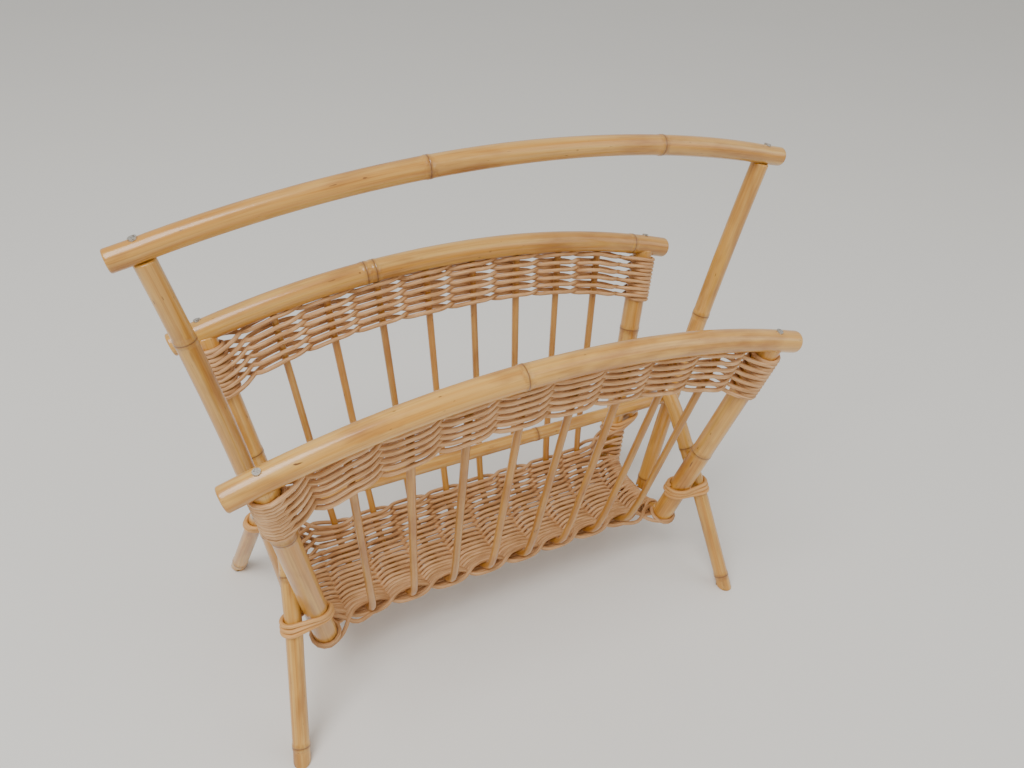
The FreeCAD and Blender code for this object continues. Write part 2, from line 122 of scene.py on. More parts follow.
class RackWeaveSettings(bpy.types.PropertyGroup):
    """Sizes and colours of the twined strands"""
    strand: length_property("Strand", "Diameter of a weaving strand", 3.3 * MM)
    lift: length_property(
        "Crossing lift", "Half the distance between two strands that cross", 1.45 * MM)
    unevenness: length_property("Unevenness", "How far a strand strays from its row", 0.35 * MM)
    band_rows: IntProperty(
        name="Band rows", description="Rows of twining under each rail", default=6)
    tray_rows: IntProperty(name="Tray rows", description="Rows of twining in the tray", default=20)
    light: colour_property("Light reed", "Pale fibres of the reed", "#EDC89B")
    middle: colour_property("Reed", "Body colour of the reed", "#D8A873")
    dark: colour_property("Dark reed", "Darker strands and pores", "#A87646")


class RackStageSettings(bpy.types.PropertyGroup):
    """The floor, the lights and the camera"""
    floor: colour_property("Floor", "Plain pale floor", "#E9E7E2")
    camera_place: FloatVectorProperty(
        name="Camera", description="Where the camera stands", subtype="TRANSLATION",
        unit="LENGTH", default=(-0.2309, -0.4344, 0.5608))
    turn: angle_property("Turn", "Camera's turn from +Y towards +X", 0.5168)
    tilt: angle_property("Tilt", "Camera's tilt below the level", 0.6216)
    roll: angle_property("Roll", "Camera's roll about its view", 0.0674)
    lens: FloatProperty(name="Lens", description="Focal length in millimetres", default=29.12)
    key_power: power_property("Key light", "Power of the large light", 32.0)
    fill_power: power_property("Fill light", "Power of the fill light", 9.0)


# ---- reading the frame ---------------------------------------------------------------------

mesh_edges = {}


def node_edges(node):
    """Both ends of every edge of a CAD node's mesh."""
    if node not in mesh_edges:
        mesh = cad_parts[node].data
        places = np.empty(len(mesh.vertices) * 3)
        mesh.vertices.foreach_get("co", places)
        pairs = np.empty(len(mesh.edges) * 2, int)
        mesh.edges.foreach_get("vertices", pairs)
        mesh_edges[node] = places.reshape(-1, 3)[pairs.reshape(-1, 2)]
    return mesh_edges[node]


def section(node, axis, level):
    """Points of a CAD node's surface at a level of one axis."""
    start, end = node_edges(node).transpose(1, 0, 2)
    crossing = (start[:, axis] - level) * (end[:, axis] - level) < 0
    start, end = start[crossing], end[crossing]
    share = (level - start[:, axis]) / (end[:, axis] - start[:, axis])
    return start + (end - start) * share[:, None]


def section_centre(node, axis, level):
    cut = section(node, axis, level)
    return Vector((cut.min(0) + cut.max(0)) / 2)


def centre_line(node, axis, count, margin):
    """Points of a node's middle, from cuts spread along an axis, clear of its ends by a margin."""
    low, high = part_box(node)
    levels = np.linspace(low[axis] + margin, high[axis] - margin, count)
    return [section_centre(node, axis, level) for level in levels]


def drawn_on(points, start_reach, end_reach):
    """The points with both ends drawn on, straight."""
    first = points[0] + (points[0] - points[1]).normalized() * start_reach
    last = points[-1] + (points[-1] - points[-2]).normalized() * end_reach
    return [first, *points, last]


def reach_to(point, before, axis, level):
    """How far beyond a point, straight on from the one before it, a level of one axis is."""
    return (level - point[axis]) / (point - before).normalized()[axis]


def square_cut_line(node, axis, count, margin, radius):
    """The middle line of a cane whose two ends are cut square, from end to end."""
    points = centre_line(node, axis, count, margin)
    low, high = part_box(node)
    reaches = []
    for point, before, limit, side in ((points[0], points[1], low, 1),
                                       (points[-1], points[-2], high, -1)):
        slant = (point - before).normalized()[axis]
        rim = radius * math.sqrt(max(0.0, 1 - slant ** 2))
        reaches.append(reach_to(point, before, axis, limit[axis] + side * rim))
    return Line(drawn_on(points, *reaches))


class Line:
    """A smooth line through points, measured by its length."""

    def __init__(self, points):
        self.points = np.array(points)
        steps = np.linalg.norm(np.diff(self.points, axis=0), axis=1)
        self.marks = np.concatenate([[0], np.cumsum(steps)])
        self.length = float(self.marks[-1])

    def at(self, mark):
        """The point at a distance from the start. Past an end the line runs on straight."""
        mark = float(mark)
        place = int(np.clip(np.searchsorted(self.marks, mark) - 1, 0, len(self.marks) - 2))
        share = (mark - self.marks[place]) / (self.marks[place + 1] - self.marks[place])
        return Vector(self.points[place] + (self.points[place + 1] - self.points[place]) * share)

    def direction(self, mark, reach=2 * MM):
        return (self.at(mark + reach) - self.at(mark - reach)).normalized()

    def mark_where(self, axis, level):
        """Distance from the start at which the line first crosses a level of one axis.

        A line that doesn't reach the level is run on, straight, from its nearer end."""
        values = self.points[:, axis] - level
        crossings = np.nonzero(values[:-1] * values[1:] <= 0)[0]
        if len(crossings) == 0:
            nearest = 0 if abs(values[0]) < abs(values[-1]) else len(values) - 2
            crossings = [nearest]
        place = int(crossings[0])
        share = values[place] / (values[place] - values[place + 1])
        return float(self.marks[place] + share * (self.marks[place + 1] - self.marks[place]))


def cane_radius(node):
    """Radius of a level round cane, from the narrowest side of its box."""
    low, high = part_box(node)
    return min(high - low) / 2


def pole_radius(node, axis, level):
    """Radius of a round cane, from the narrow side of a cut through it."""
    cut = section(node, axis, level)
    sides = cut.max(0) - cut.min(0)
    return min(sides[side] for side in (X, Y, Z) if side != axis) / 2


# ---- modelling -----------------------------------------------------------------------------

SMOOTH_ANGLE = math.radians(50)


def deselect_all():
    if bpy.context.object and bpy.context.object.mode != "OBJECT":
        bpy.ops.object.mode_set(mode="OBJECT")
    bpy.ops.object.select_all(action="DESELECT")


def tube(name, points, radii, sides_step, closed=False):
    """A round strand through points, with a radius at each one, as a mesh.

    Its UVs run in metres along it, and from 0 to 1 round it."""
    deselect_all()
    bpy.ops.curve.primitive_nurbs_path_add()
    piece = bpy.context.object
    piece.name = name
    shape = piece.data
    shape.splines.clear()
    spline = shape.splines.new("POLY")
    spline.points.add(len(points) - 1)
    spline.points.foreach_set("co", [value for point in points for value in (*point, 1.0)])
    spline.points.foreach_set("radius", [radius / MM for radius in radii])
    spline.use_cyclic_u = closed
    shape.twist_mode = "MINIMUM"
    shape.bevel_depth = MM
    shape.bevel_resolution = sides_step
    shape.use_fill_caps = not closed
    bpy.ops.object.convert(target="MESH")
    piece = bpy.context.object
    length = sum((b - a).length for a, b in zip(points, points[1:]))
    scale_uvs(piece.data, length)
    bpy.ops.object.shade_smooth_by_angle(angle=SMOOTH_ANGLE)
    return piece


def scale_uvs(mesh, length):
    """Along the strand in metres, and round it from 0 to 1."""
    layer = mesh.uv_layers[0]
    values = np.empty(len(layer.data) * 2, np.float32)
    layer.data.foreach_get("uv", values)
    values[0::2] *= length
    layer.data.foreach_set("uv", values)


def set_value(piece, name, values):
    """A number on each vertex, for the piece's material."""
    attribute = piece.data.attributes.new(name, "FLOAT", "POINT")
    if isinstance(values, (int, float)):
        values = [values] * len(piece.data.vertices)
    attribute.data.foreach_set("value", values)


def ring_values(piece, points, values):
    """The value at the nearest of a line's points, for each vertex of the cane round it."""
    places = KDTree(len(points))
    for index, point in enumerate(points):
        places.insert(point, index)
    places.balance()
    return [values[places.find(vertex.co)[1]] for vertex in piece.data.vertices]


def join(name, parts):
    """Several meshes as one piece."""
    deselect_all()
    for part in parts:
        part.select_set(True)
    bpy.context.view_layer.objects.active = parts[0]
    if len(parts) > 1:
        bpy.ops.object.join()
    piece = bpy.context.object
    piece.name = name
    bpy.ops.object.transform_apply(location=True, rotation=True, scale=True)
    return piece


def finish_piece(piece, material, nodes):
    """Give a piece its material and its place in the frame."""
    piece.data.materials.clear()
    piece.data.materials.append(material)
    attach(piece, BODY)
    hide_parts(*nodes)
    return piece


# a growth joint is a wide swelling cut by a narrow groove, with a dark rim in a fainter stain
JOINT_STEPS = 8
SWELL_SHARE, SWELL_NARROWNESS = 0.75, 2.2
GROOVE_SHARE, GROOVE_NARROWNESS = 0.55, 9
RIM_NARROWNESS = 7
STAIN_SHARE, STAIN_NARROWNESS = 0.35, 2
# a cane's thickness wavers along it, and is thinner on the whole than its full radius
CANE_STEP = 4 * MM
CANE_WAVES = (31 * MM, 73 * MM)
CANE_THINNING = 0.6
WORN_STEPS = 4


def bell(gap, narrowness):
    """1 where there is no gap, and less on both sides of it."""
    return math.exp(-(gap * narrowness) ** 2)


def cane_marks(length, joints, looks):
    """Distances along a cane at which its thickness is set, closer at joints and worn ends."""
    marks = set(np.linspace(0.0, length, max(8, int(length / CANE_STEP))))
    for joint in joints:
        marks.update(joint + step * looks.joint_reach / JOINT_STEPS
                     for step in range(-JOINT_STEPS, JOINT_STEPS + 1))
    for step in range(WORN_STEPS + 1):
        worn = looks.end_round * (1 - math.cos(step / WORN_STEPS * math.pi / 2))
        marks.update((worn, length - worn))
    return sorted(mark for mark in marks if 0.0 <= mark <= length)


def cane(name, line, radius, joints=(), seed=0, sides_step=8):
    """A grown cane along a line: uneven, with worn ends and swollen joints.

    Joints are distances from the line's start."""
    looks = bpy.context.scene.rack_cane
    draw = random.Random(seed)
    # the third phase isn't used, and is drawn so that the tone drawn below stays the same
    phases = [draw.uniform(0, 2 * math.pi) for _ in range(3)]
    marks = cane_marks(line.length, joints, looks)
    radii, rims = [], []
    for mark in marks:
        waves = [math.sin(mark / wave + phase) for wave, phase in zip(CANE_WAVES, phases)]
        thickness = radius + looks.wobble * (sum(waves) / 2 - CANE_THINNING)
        rim = 0.0
        for joint in joints:
            gap = (mark - joint) / looks.joint_reach
            thickness += looks.joint_swell * SWELL_SHARE * bell(gap, SWELL_NARROWNESS)
            thickness -= looks.joint_swell * GROOVE_SHARE * bell(gap, GROOVE_NARROWNESS)
            rim = max(rim, bell(gap, RIM_NARROWNESS), STAIN_SHARE * bell(gap, STAIN_NARROWNESS))
        worn = max(0.0, looks.end_round - min(mark, line.length - mark))
        thickness -= looks.end_round - math.sqrt(max(0.0, looks.end_round ** 2 - worn ** 2))
        radii.append(thickness)
        rims.append(rim)
    points = [line.at(mark) for mark in marks]
    piece = tube(name, points, radii, sides_step)
    set_value(piece, "rim", ring_values(piece, points, rims))
    set_value(piece, "tone", draw.uniform(0, 1))
    return piece


# ---- materials -----------------------------------------------------------------------------

def add_node(tree, kind, links=None, **settings):
    """Add a node, set its properties and values, and link its inputs.

    A setting named after an input sets that input, and any other sets a property."""
    node = tree.nodes.new(kind)
    for name, value in settings.items():
        if hasattr(node, name):
            setattr(node, name, value)
        else:
            node.inputs[name.replace("_", " ")].default_value = value
    for name, source in (links or {}).items():
        tree.links.new(source, node.inputs[name])
    return node


def ramp(tree, factor, stops):
    """A colour ramp through (place, colour) stops."""
    node = add_node(tree, "ShaderNodeValToRGB", {"Fac": factor})
    elements = node.color_ramp.elements
    while len(elements) < len(stops):
        elements.new(0.5)
    for element, (place, colour) in zip(elements, stops):
        element.position = place
        element.color = colour
    return node.outputs["Color"]


# sockets of a mix node that mixes colours
MIX_FACTOR, MIX_FIRST, MIX_SECOND, MIX_RESULT = 0, 6, 7, 2


def mix_colour(tree, factor, first, second, blend="MIX"):
    node = add_node(tree, "ShaderNodeMix", data_type="RGBA", blend_type=blend)
    for index, value in ((MIX_FACTOR, factor), (MIX_FIRST, first), (MIX_SECOND, second)):
        if isinstance(value, bpy.types.NodeSocket):
            tree.links.new(value, node.inputs[index])
        else:
            node.inputs[index].default_value = value
    return node.outputs[MIX_RESULT]


def scaled(tree, source, factor):
    node = add_node(tree, "ShaderNodeMath", {0: source}, operation="MULTIPLY")
    node.inputs[1].default_value = factor
    return node.outputs[0]


def fibre_space(tree, girth, stretch):
    """Coordinates round a strand at full scale and along it squeezed by stretch, and its tone."""
    uv = add_node(tree, "ShaderNodeUVMap").outputs["UV"]
    parts = add_node(tree, "ShaderNodeSeparateXYZ", {"Vector": uv})
    turn = scaled(tree, parts.outputs["Y"], 2 * math.pi)
    across = []
    for operation in ("COSINE", "SINE"):
        wave = add_node(tree, "ShaderNodeMath", {0: turn}, operation=operation)
        across.append(scaled(tree, wave.outputs[0], girth))
    along = scaled(tree, parts.outputs["X"], stretch)
    tone = add_node(tree, "ShaderNodeAttribute", attribute_name="tone").outputs["Fac"]
    shift = add_node(tree, "ShaderNodeMath", {0: tone, 1: along}, operation="ADD")
    space = add_node(tree, "ShaderNodeCombineXYZ",
                     {"X": across[0], "Y": across[1], "Z": shift.outputs[0]})
    return space.outputs[0], tone


def noise(tree, vector, scale, detail=3.0, roughness=0.55):
    return add_node(tree, "ShaderNodeTexNoise", {"Vector": vector}, Scale=scale, Detail=detail,
                    Roughness=roughness).outputs["Fac"]


def bump(tree, height, distance, strength=1.0, under=None):
    links = {"Height": height}
    if under is not None:
        links["Normal"] = under
    node = add_node(tree, "ShaderNodeBump", links, Distance=distance, Strength=strength)
    return node.outputs["Normal"]


def new_material(name):
    material = bpy.data.materials.new(name)
    material.use_nodes = True
    tree = material.node_tree
    return material, tree, tree.nodes["Principled BSDF"]


# how far fibres and patches are squeezed along a cane, and the girth of a reed's fibre space
FIBRE_STRETCH = 0.03
PATCH_STRETCH = 0.35
REED_GIRTH = 1.4 * MM


def varnished_rattan(name, girth, darkening_and_painted_shade):
    """Peeled rattan under clear varnish: long fibres, amber patches and a soft wet gloss.

    The last option darkens the whole cane towards the dark cane colour: a little on the poles, and
    on the stakes and ribs as painted shade."""
    looks = bpy.context.scene.rack_cane
    material, tree, shader = new_material(name)
    fibre, tone = fibre_space(tree, girth, FIBRE_STRETCH)
    patchy, _ = fibre_space(tree, girth, PATCH_STRETCH)
    fibres = noise(tree, fibre, 900.0, 4.0, 0.6)
    streaks = noise(tree, fibre, 260.0, 2.0, 0.5)
    patches = noise(tree, patchy, 70.0, 3.0, 0.6)
    body = ramp(tree, streaks, [(0.32, looks.middle), (0.68, looks.light)])
    aged = ramp(tree, patches, [(0.46, BLACK), (0.80, WHITE)])
    # the whole cane mixed towards the dark cane colour by the last option: on the stakes and ribs
    # this is painted shade
    colour = mix_colour(tree, aged, mix_colour(tree, darkening_and_painted_shade, body, looks.dark), looks.dark)
    fine = ramp(tree, fibres, [(0.30, (0.72, 0.66, 0.6, 1)), (0.52, WHITE)])
    colour = mix_colour(tree, 0.75, colour, fine, "MULTIPLY")
    shade = ramp(tree, tone, [(0.0, (0.84, 0.82, 0.8, 1)), (1.0, WHITE)])
    colour = mix_colour(tree, 1.0, colour, shade, "MULTIPLY")
    specks = ramp(tree, noise(tree, patchy, 520.0, 1.0), [(0.74, BLACK), (0.80, WHITE)])
    colour = mix_colour(tree, specks, colour, looks.joint)
    rim = add_node(tree, "ShaderNodeAttribute", attribute_name="rim").outputs["Fac"]
    colour = mix_colour(tree, rim, colour, looks.joint)
    tree.links.new(colour, shader.inputs["Base Color"])
    gloss = add_node(tree, "ShaderNodeMapRange", {"Value": patches}, To_Min=0.24, To_Max=0.40)
    tree.links.new(gloss.outputs[0], shader.inputs["Roughness"])
    grain = bump(tree, fibres, 0.12 * MM, 0.5)
    tree.links.new(bump(tree, patches, 0.5 * MM, 0.4, grain), shader.inputs["Normal"])
    shader.inputs["IOR"].default_value = 1.5
    shader.inputs["Coat Weight"].default_value = 0.6
    shader.inputs["Coat Roughness"].default_value = 0.13
    return material


def reed_core(name, warm):
    """Reed, the core of the rattan: dry and matt, with open fibres, uneven from strand to strand.

    Warm is how far its colour goes to the cane's."""
    looks = bpy.context.scene.rack_weave
    material, tree, shader = new_material(name)
    fibre, tone = fibre_space(tree, REED_GIRTH, FIBRE_STRETCH)
    fibres = noise(tree, fibre, 2600.0, 3.0, 0.6)
    place = add_node(tree, "ShaderNodeTexCoord").outputs["Object"]
    stains = noise(tree, place, 55.0, 3.0, 0.6)
    body = ramp(tree, fibres, [(0.30, looks.dark), (0.48, looks.middle), (0.72, looks.light)])
    shade = ramp(tree, tone, [(0.0, (0.80, 0.74, 0.68, 1)), (0.35, (0.95, 0.93, 0.90, 1)),
                              (1.0, WHITE)])
    colour = mix_colour(tree, 1.0, body, shade, "MULTIPLY")
    stained = ramp(tree, stains, [(0.35, (0.82, 0.76, 0.68, 1)), (0.6, WHITE)])
    colour = mix_colour(tree, 1.0, colour, stained, "MULTIPLY")
    colour = mix_colour(tree, warm, colour, bpy.context.scene.rack_cane.middle)
    tree.links.new(colour, shader.inputs["Base Color"])
    tree.links.new(bump(tree, fibres, 0.15 * MM, 0.6), shader.inputs["Normal"])
    shader.inputs["Roughness"].default_value = 0.55
    shader.inputs["IOR"].default_value = 1.5
    shader.inputs["Coat Weight"].default_value = 0.08
    shader.inputs["Coat Roughness"].default_value = 0.35
    return material


def wire_nail_steel():
    """Bright wire nail, dulled by varnish: grey metal with brown oxide in patches."""
    material, tree, shader = new_material("wire nail steel, dulled")
    place = add_node(tree, "ShaderNodeTexCoord").outputs["Object"]
    oxide = noise(tree, place, 900.0, 3.0)
    colour = ramp(tree, oxide, [(0.46, linear("#C9C5BC")), (0.70, linear("#6B5440"))])
    tree.links.new(colour, shader.inputs["Base Color"])
    rough = add_node(tree, "ShaderNodeMapRange", {"Value": oxide}, To_Min=0.3, To_Max=0.6)
    tree.links.new(rough.outputs[0], shader.inputs["Roughness"])
    shader.inputs["Metallic"].default_value = 0.85
    return material


def painted_floor():
    """Matt painted floor, plain and pale, with the faintest mottle."""
    material, tree, shader = new_material("matt floor paint")
    place = add_node(tree, "ShaderNodeTexCoord").outputs["Object"]
    mottle = noise(tree, place, 3.0)
    pale = bpy.context.scene.rack_stage.floor
    dim = [value * 0.97 for value in pale[:3]] + [1.0]
    tree.links.new(mix_colour(tree, mottle, pale, dim), shader.inputs["Base Color"])
    shader.inputs["Roughness"].default_value = 0.8
    return material


def material_named(name, make, *options):
    """The material, made the first time it is asked for."""
    return bpy.data.materials.get(name) or make(name, *options)


def pole_material():
    return material_named("varnished rattan pole", varnished_rattan, 8 * MM, 0.12)


def stake_material():
    # half way to the dark cane colour: painted shade, for the stakes and ribs that the rails shade
    return material_named("varnished rattan stake", varnished_rattan, 3 * MM, 0.5)


def weave_material():
    return material_named("reed core weave", reed_core, 0.0)


def lashing_material():
    return material_named("split cane lashing", reed_core, 0.45)


# ---- the rack's own lines ------------------------------------------------------------------

RAIL_RADIUS = cane_radius("front_rail")
HANDLE_RADIUS = cane_radius("carry_handle")
STRETCHER_RADIUS = cane_radius("centre_stretcher")
HANDLE_POST_RADIUS = cane_radius("handle_post_left")
# heights at which the end posts and the arches' legs are measured
POST_LEVEL = 150 * MM
LEG_LEVEL = 40 * MM
# more than a cane's depth at a level cut, and less than the way to the arch's other leg
CUT_DEPTH = 20 * MM
# how far below its node's top a post's line ends: in its radii for an end post, and in the
# handle's for a handle post
POST_TOP_DROP = 0.55
HANDLE_POST_TOP_DROP = 0.6
ARCH_END_LEVEL = -8 * MM
# how far along an arch the lean of its front leg is taken
LEG_MARK = 20 * MM


def bow_line(node):
    """The middle line of a rail or the handle."""
    return square_cut_line(node, X, 61, 9 * MM, cane_radius(node))


def leaning_radius(node, lean, level):
    """Radius of a leaning cane, from the width of a level cut through it, square to its lean.

    A level cuts an arch twice, and only the front cut counts."""
    cut = section(node, Z, level)
    cut = cut[cut[:, Y] < cut[:, Y].min() + CUT_DEPTH]
    beside = Vector((lean.y, -lean.x, 0)).normalized()
    spread = cut @ np.array(beside)
    return float(spread.max() - spread.min()) / 2


def level_ended(points, first_level, last_level):
    """A line through points, run on, straight, to a height at each end."""
    return Line(drawn_on(points, reach_to(points[0], points[1], Z, first_level),
                         reach_to(points[-1], points[-2], Z, last_level)))


def post_line(node):
    """The middle line of an end post, from its foot to inside the rail, and its radius."""
    points = centre_line(node, Z, 5, 30 * MM)
    low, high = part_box(node)
    lean = (points[-1] - points[0]).normalized()
    radius = leaning_radius(node, lean, POST_LEVEL)
    foot = low.z + radius * math.sqrt(1 - lean.z ** 2)
    top = high.z - radius * POST_TOP_DROP
    return level_ended(points, foot, top), radius


def handle_post_line(node):
    """The middle line of a handle post, from its foot to inside the handle."""
    points = centre_line(node, Z, 41, 12 * MM)
    low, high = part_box(node)
    return level_ended(points, low.z + MM, high.z - HANDLE_RADIUS * HANDLE_POST_TOP_DROP)


def stake_line(node):
    """The middle line of a stake, from hole to hole."""
    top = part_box(node)[1].z
    return level_ended(centre_line(node, Y, 121, 6 * MM), top, top)


def rib_line(node):
    """The middle line of a rib, with its tips drawn on by about what its ends' cuts leave out."""
    return Line(drawn_on(centre_line(node, Y, 61, 7 * MM), 8 * MM, 8 * MM))


def arch_line(node):
    """The middle line of an arch, with its ends below the floor."""
    return level_ended(centre_line(node, Y, 141, 20 * MM), ARCH_END_LEVEL, ARCH_END_LEVEL)


stake_lines = {node: stake_line(node) for node in STAKES}
rib_lines = {end: rib_line("end_rib_" + end) for end in ENDS}
rail_lines = {panel: bow_line(panel + "_rail") for panel in PANELS}
posts = {(panel, end): post_line("%s_post_%s" % (panel, end)) for panel in PANELS for end in ENDS}
post_lines = {place: line for place, (line, _) in posts.items()}
POST_RADIUS = posts["rear", "right"][1]
arch_lines = {end: arch_line("leg_arch_" + end) for end in ENDS}
STAKE_RADIUS = pole_radius("stake_4", Y, 0.0)
RIB_RADIUS = pole_radius("end_rib_left", Y, 0.0)
LEG_RADIUS = leaning_radius("leg_arch_left", arch_lines["left"].direction(LEG_MARK), LEG_LEVEL)


# ---- twining -------------------------------------------------------------------------------

class Support:
    """What a row of twining passes.

    It has a centre, the ways out of the weave and up along it, and a reach to a strand's middle."""

    def __init__(self, centre, out, up, reach):
        self.centre = centre
        self.up = up.normalized()
        self.out = (out - self.up * out.dot(self.up)).normalized()
        self.reach = reach

    def towards(self, other, share):
        """What lies between two supports."""
        return Support(self.centre.lerp(other.centre, share), self.out.lerp(other.out, share),
                       self.up.lerp(other.up, share),
                       self.reach + (other.reach - self.reach) * share)


def smooth(share):
    return share * share * (3 - 2 * share)


# points from one support to the next and to one turn, and how short a crossing is
SPAN_STEPS = 12
TURN_STEPS = 14
CROSSING_SHARPNESS = 1.7
# turns round the last support of a row
END_TURNS = 1.5
# a strand's radius waves by this share, at this many points to a radian
STRAND_THINNING = 0.03
THINNING_POINTS = 7


def twined_side(supports, side, lift, wrap_lift, strays):
    """One of a row's two strands. The other side's strand crosses it between supports."""
    points = []
    spans = len(supports) - 1
    for span in range(spans):
        for step in range(SPAN_STEPS):
            share = step / SPAN_STEPS
            turn = math.pi * (span + share)
            here = supports[span].towards(supports[span + 1], share)
            depth = math.tanh(CROSSING_SHARPNESS * math.cos(turn)) / math.tanh(CROSSING_SHARPNESS)
            at_end = (1 - smooth(share)) * (span == 0) + smooth(share) * (span == spans - 1)
            stray = strays[span] + (strays[span + 1] - strays[span]) * smooth(share)
            rise = lift * math.sin(turn) * (1 - depth * depth) + wrap_lift / 2 * at_end
            up = side * rise + stray
            points.append(here.centre + here.out * (side * here.reach * depth) + here.up * up)
    return points


def end_wrap(support, across, first_lift, last_lift, stray):
    """A strand's turns round the last support, from its inner side to its outer side."""
    side = (across - support.up * across.dot(support.up)).normalized()
    steps = int(END_TURNS * TURN_STEPS)
    points = []
    for step in range(steps + 1):
        share = step / steps
        turn = math.pi - 2 * math.pi * END_TURNS * share
        up = first_lift + (last_lift - first_lift) * share + stray
        points.append(support.centre + support.up * up
                      + (support.out * math.cos(turn) + side * math.sin(turn)) * support.reach)
    return points


def twined_row(supports, lift, wrap_lift, draw):
    """Both strands of a row and their turns round its end supports, as one closed loop."""
    looks = bpy.context.scene.rack_weave
    strays = [draw.uniform(-1, 1) * looks.unevenness for _ in supports]
    forward = twined_side(supports, 1, lift, wrap_lift, strays)
    backward = twined_side(supports, -1, lift, wrap_lift, strays)
    right = end_wrap(supports[-1], Vector((1, 0, 0)), wrap_lift / 2, -wrap_lift / 2, strays[-1])
    left = end_wrap(supports[0], Vector((-1, 0, 0)), -wrap_lift / 2, wrap_lift / 2, strays[0])
    return forward + right + backward[:0:-1] + left[:-1]


def strand(name, points, draw, closed=True):
    """A reed strand along points."""
    radius = bpy.context.scene.rack_weave.strand / 2
    radii = [radius * (1 - STRAND_THINNING
                       + STRAND_THINNING * math.sin(place / THINNING_POINTS + len(points)))
             for place in range(len(points))]
    piece = tube(name, points, radii, 3, closed)
    set_value(piece, "tone", draw.uniform(0, 1))
    return piece


# places tried along half a stake for a row's height
SEARCH_STEPS = 200


def stake_side(node, panel):
    """Where the half of a stake's line that stands in a panel starts and ends."""
    line = stake_lines[node]
    middle = line.mark_where(Y, 0.0)
    return (0.0, middle) if panel == "front" else (middle, line.length)


def stake_support(node, panel, level):
    """A stake as a support of a band's row at a height."""
    line = stake_lines[node]
    first, last = stake_side(node, panel)
    marks = np.linspace(first, last, SEARCH_STEPS)
    mark = min(marks, key=lambda place: abs(line.at(place).z - level))
    direction = line.direction(mark)
    up = direction if direction.z > 0 else -direction
    out = Vector((0, PANELS[panel], 0))
    return Support(line.at(mark), out, up, STAKE_RADIUS + bpy.context.scene.rack_weave.strand / 2)


def post_support(panel, end, level, pointing_up=True):
    """An end post as a support of a row at a height."""
    line = post_lines[panel, end]
    up = line.direction(line.length / 2)
    mark = (level - line.at(0).z) / up.z
    reach = POST_RADIUS + bpy.context.scene.rack_weave.strand / 2
    return Support(line.at(mark), Vector((0, PANELS[panel], 0)), up if pointing_up else -up, reach)


# a band's top row: how far below the rail, in strands, at the stakes and at the posts
STAKE_TOP_GAP = 0.15
POST_TOP_GAP = 1.4
# its bottom row on a post: how far above the band's lowest point, in radii of the post
POST_BOTTOM_RISE = 0.4
# room for a row's turns round an end post, in strands
BAND_LAY = 1.5


def under_rail(panel, across):
    """Height of a rail's underside at a distance along the rack."""
    rail = rail_lines[panel]
    return rail.at(rail.mark_where(X, across)).z - RAIL_RADIUS


def band_levels(panel, across):
    """Heights of a band's top and bottom rows at a distance along the rack."""
    strand_size = bpy.context.scene.rack_weave.strand
    bottom = section(panel + "_band_weave", X, across)[:, Z].min()
    return under_rail(panel, across) - strand_size * STAKE_TOP_GAP, bottom + strand_size / 2


def band_row(panel, share):
    """Supports of a band's row, at a share of the way from its top row to its bottom row."""
    supports = []
    for node in STAKES:
        line = stake_lines[node]
        tip = line.at(0 if panel == "front" else line.length)
        top, bottom = band_levels(panel, tip.x)
        supports.append(stake_support(node, panel, top + (bottom - top) * share))
    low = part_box(panel + "_band_weave")[0].z + POST_RADIUS * POST_BOTTOM_RISE
    strand_size = bpy.context.scene.rack_weave.strand
    ends = []
    for end in ENDS:
        post = post_lines[panel, end]
        top = under_rail(panel, post.at(post.length).x) - strand_size * POST_TOP_GAP
        ends.append(post_support(panel, end, top + (low - top) * share))
    return [ends[0], *supports, ends[1]]


def model_band(panel):
    """A band's rows of twining, as one piece."""
    looks = bpy.context.scene.rack_weave
    draw = random.Random(panel)
    facing = 1 if panel == "front" else -1
    rows = []
    for row in range(looks.band_rows):
        supports = band_row(panel, row / (looks.band_rows - 1))
        points = twined_row(supports, facing * looks.lift, BAND_LAY * looks.strand, draw)
        rows.append(strand("row", points, draw))
    piece = join(panel + "_band_strands", rows)
    return finish_piece(piece, weave_material(), [panel + "_band_weave"])


# ---- the tray ------------------------------------------------------------------------------

def tray_rim(side):
    """Depth of the middle of the tray's rim, from a cut through its weave between stakes."""
    cut = section("tray_weave", X, 0.0)
    cut = cut[cut[:, Y] * side > 0]
    inner = cut[cut[:, Z].argmax()]
    outer = cut[(cut[:, Y] * side).argmax()]
    return (inner[Y] + outer[Y]) / 2


def line_support(line, mark, radius):
    """A stake or a rib as a support of a tray's row, at a distance along it to the rear.

    The distance is measured from where the line crosses the rack's middle plane."""
    start = line.mark_where(Y, 0.0)
    along = line.direction(start + mark)
    out = Vector((0, along.z, -along.y))
    reach = radius + bpy.context.scene.rack_weave.strand / 2
    return Support(line.at(start + mark), out, along, reach)


# rows that turn round the rear posts, and the height of the one on the front posts, in strands
REAR_POST_ROWS = 4
FRONT_POST_RISE = 2.2
# room for a row's turns round its end supports, as a share of the rows' pitch there
TRAY_LAY = 0.75


def tray_row(row, rows, marks):
    """Supports of a tray's row, counted from its rear rim, and the lay of its end turns."""
    pitch = (marks[0] - marks[1]) / (rows - 1)
    mark = marks[0] - pitch * row
    stakes = [line_support(stake_lines[node], mark, STAKE_RADIUS) for node in STAKES]
    if row < REAR_POST_ROWS:
        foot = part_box("rear_post_left")[0].z
        pitch = (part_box("tray_weave")[1].z - foot) / REAR_POST_ROWS
        level = foot + pitch * (REAR_POST_ROWS - row - 0.5)
        ends = [post_support("rear", end, level) for end in ENDS]
    elif row == rows - 1:
        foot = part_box("front_post_left")[0].z
        level = foot + FRONT_POST_RISE * bpy.context.scene.rack_weave.strand
        ends = [post_support("front", end, level, pointing_up=False) for end in ENDS]
    else:
        ends = [line_support(rib_lines[end], mark, RIB_RADIUS) for end in ENDS]
    return [ends[0], *stakes, ends[1]], TRAY_LAY * pitch


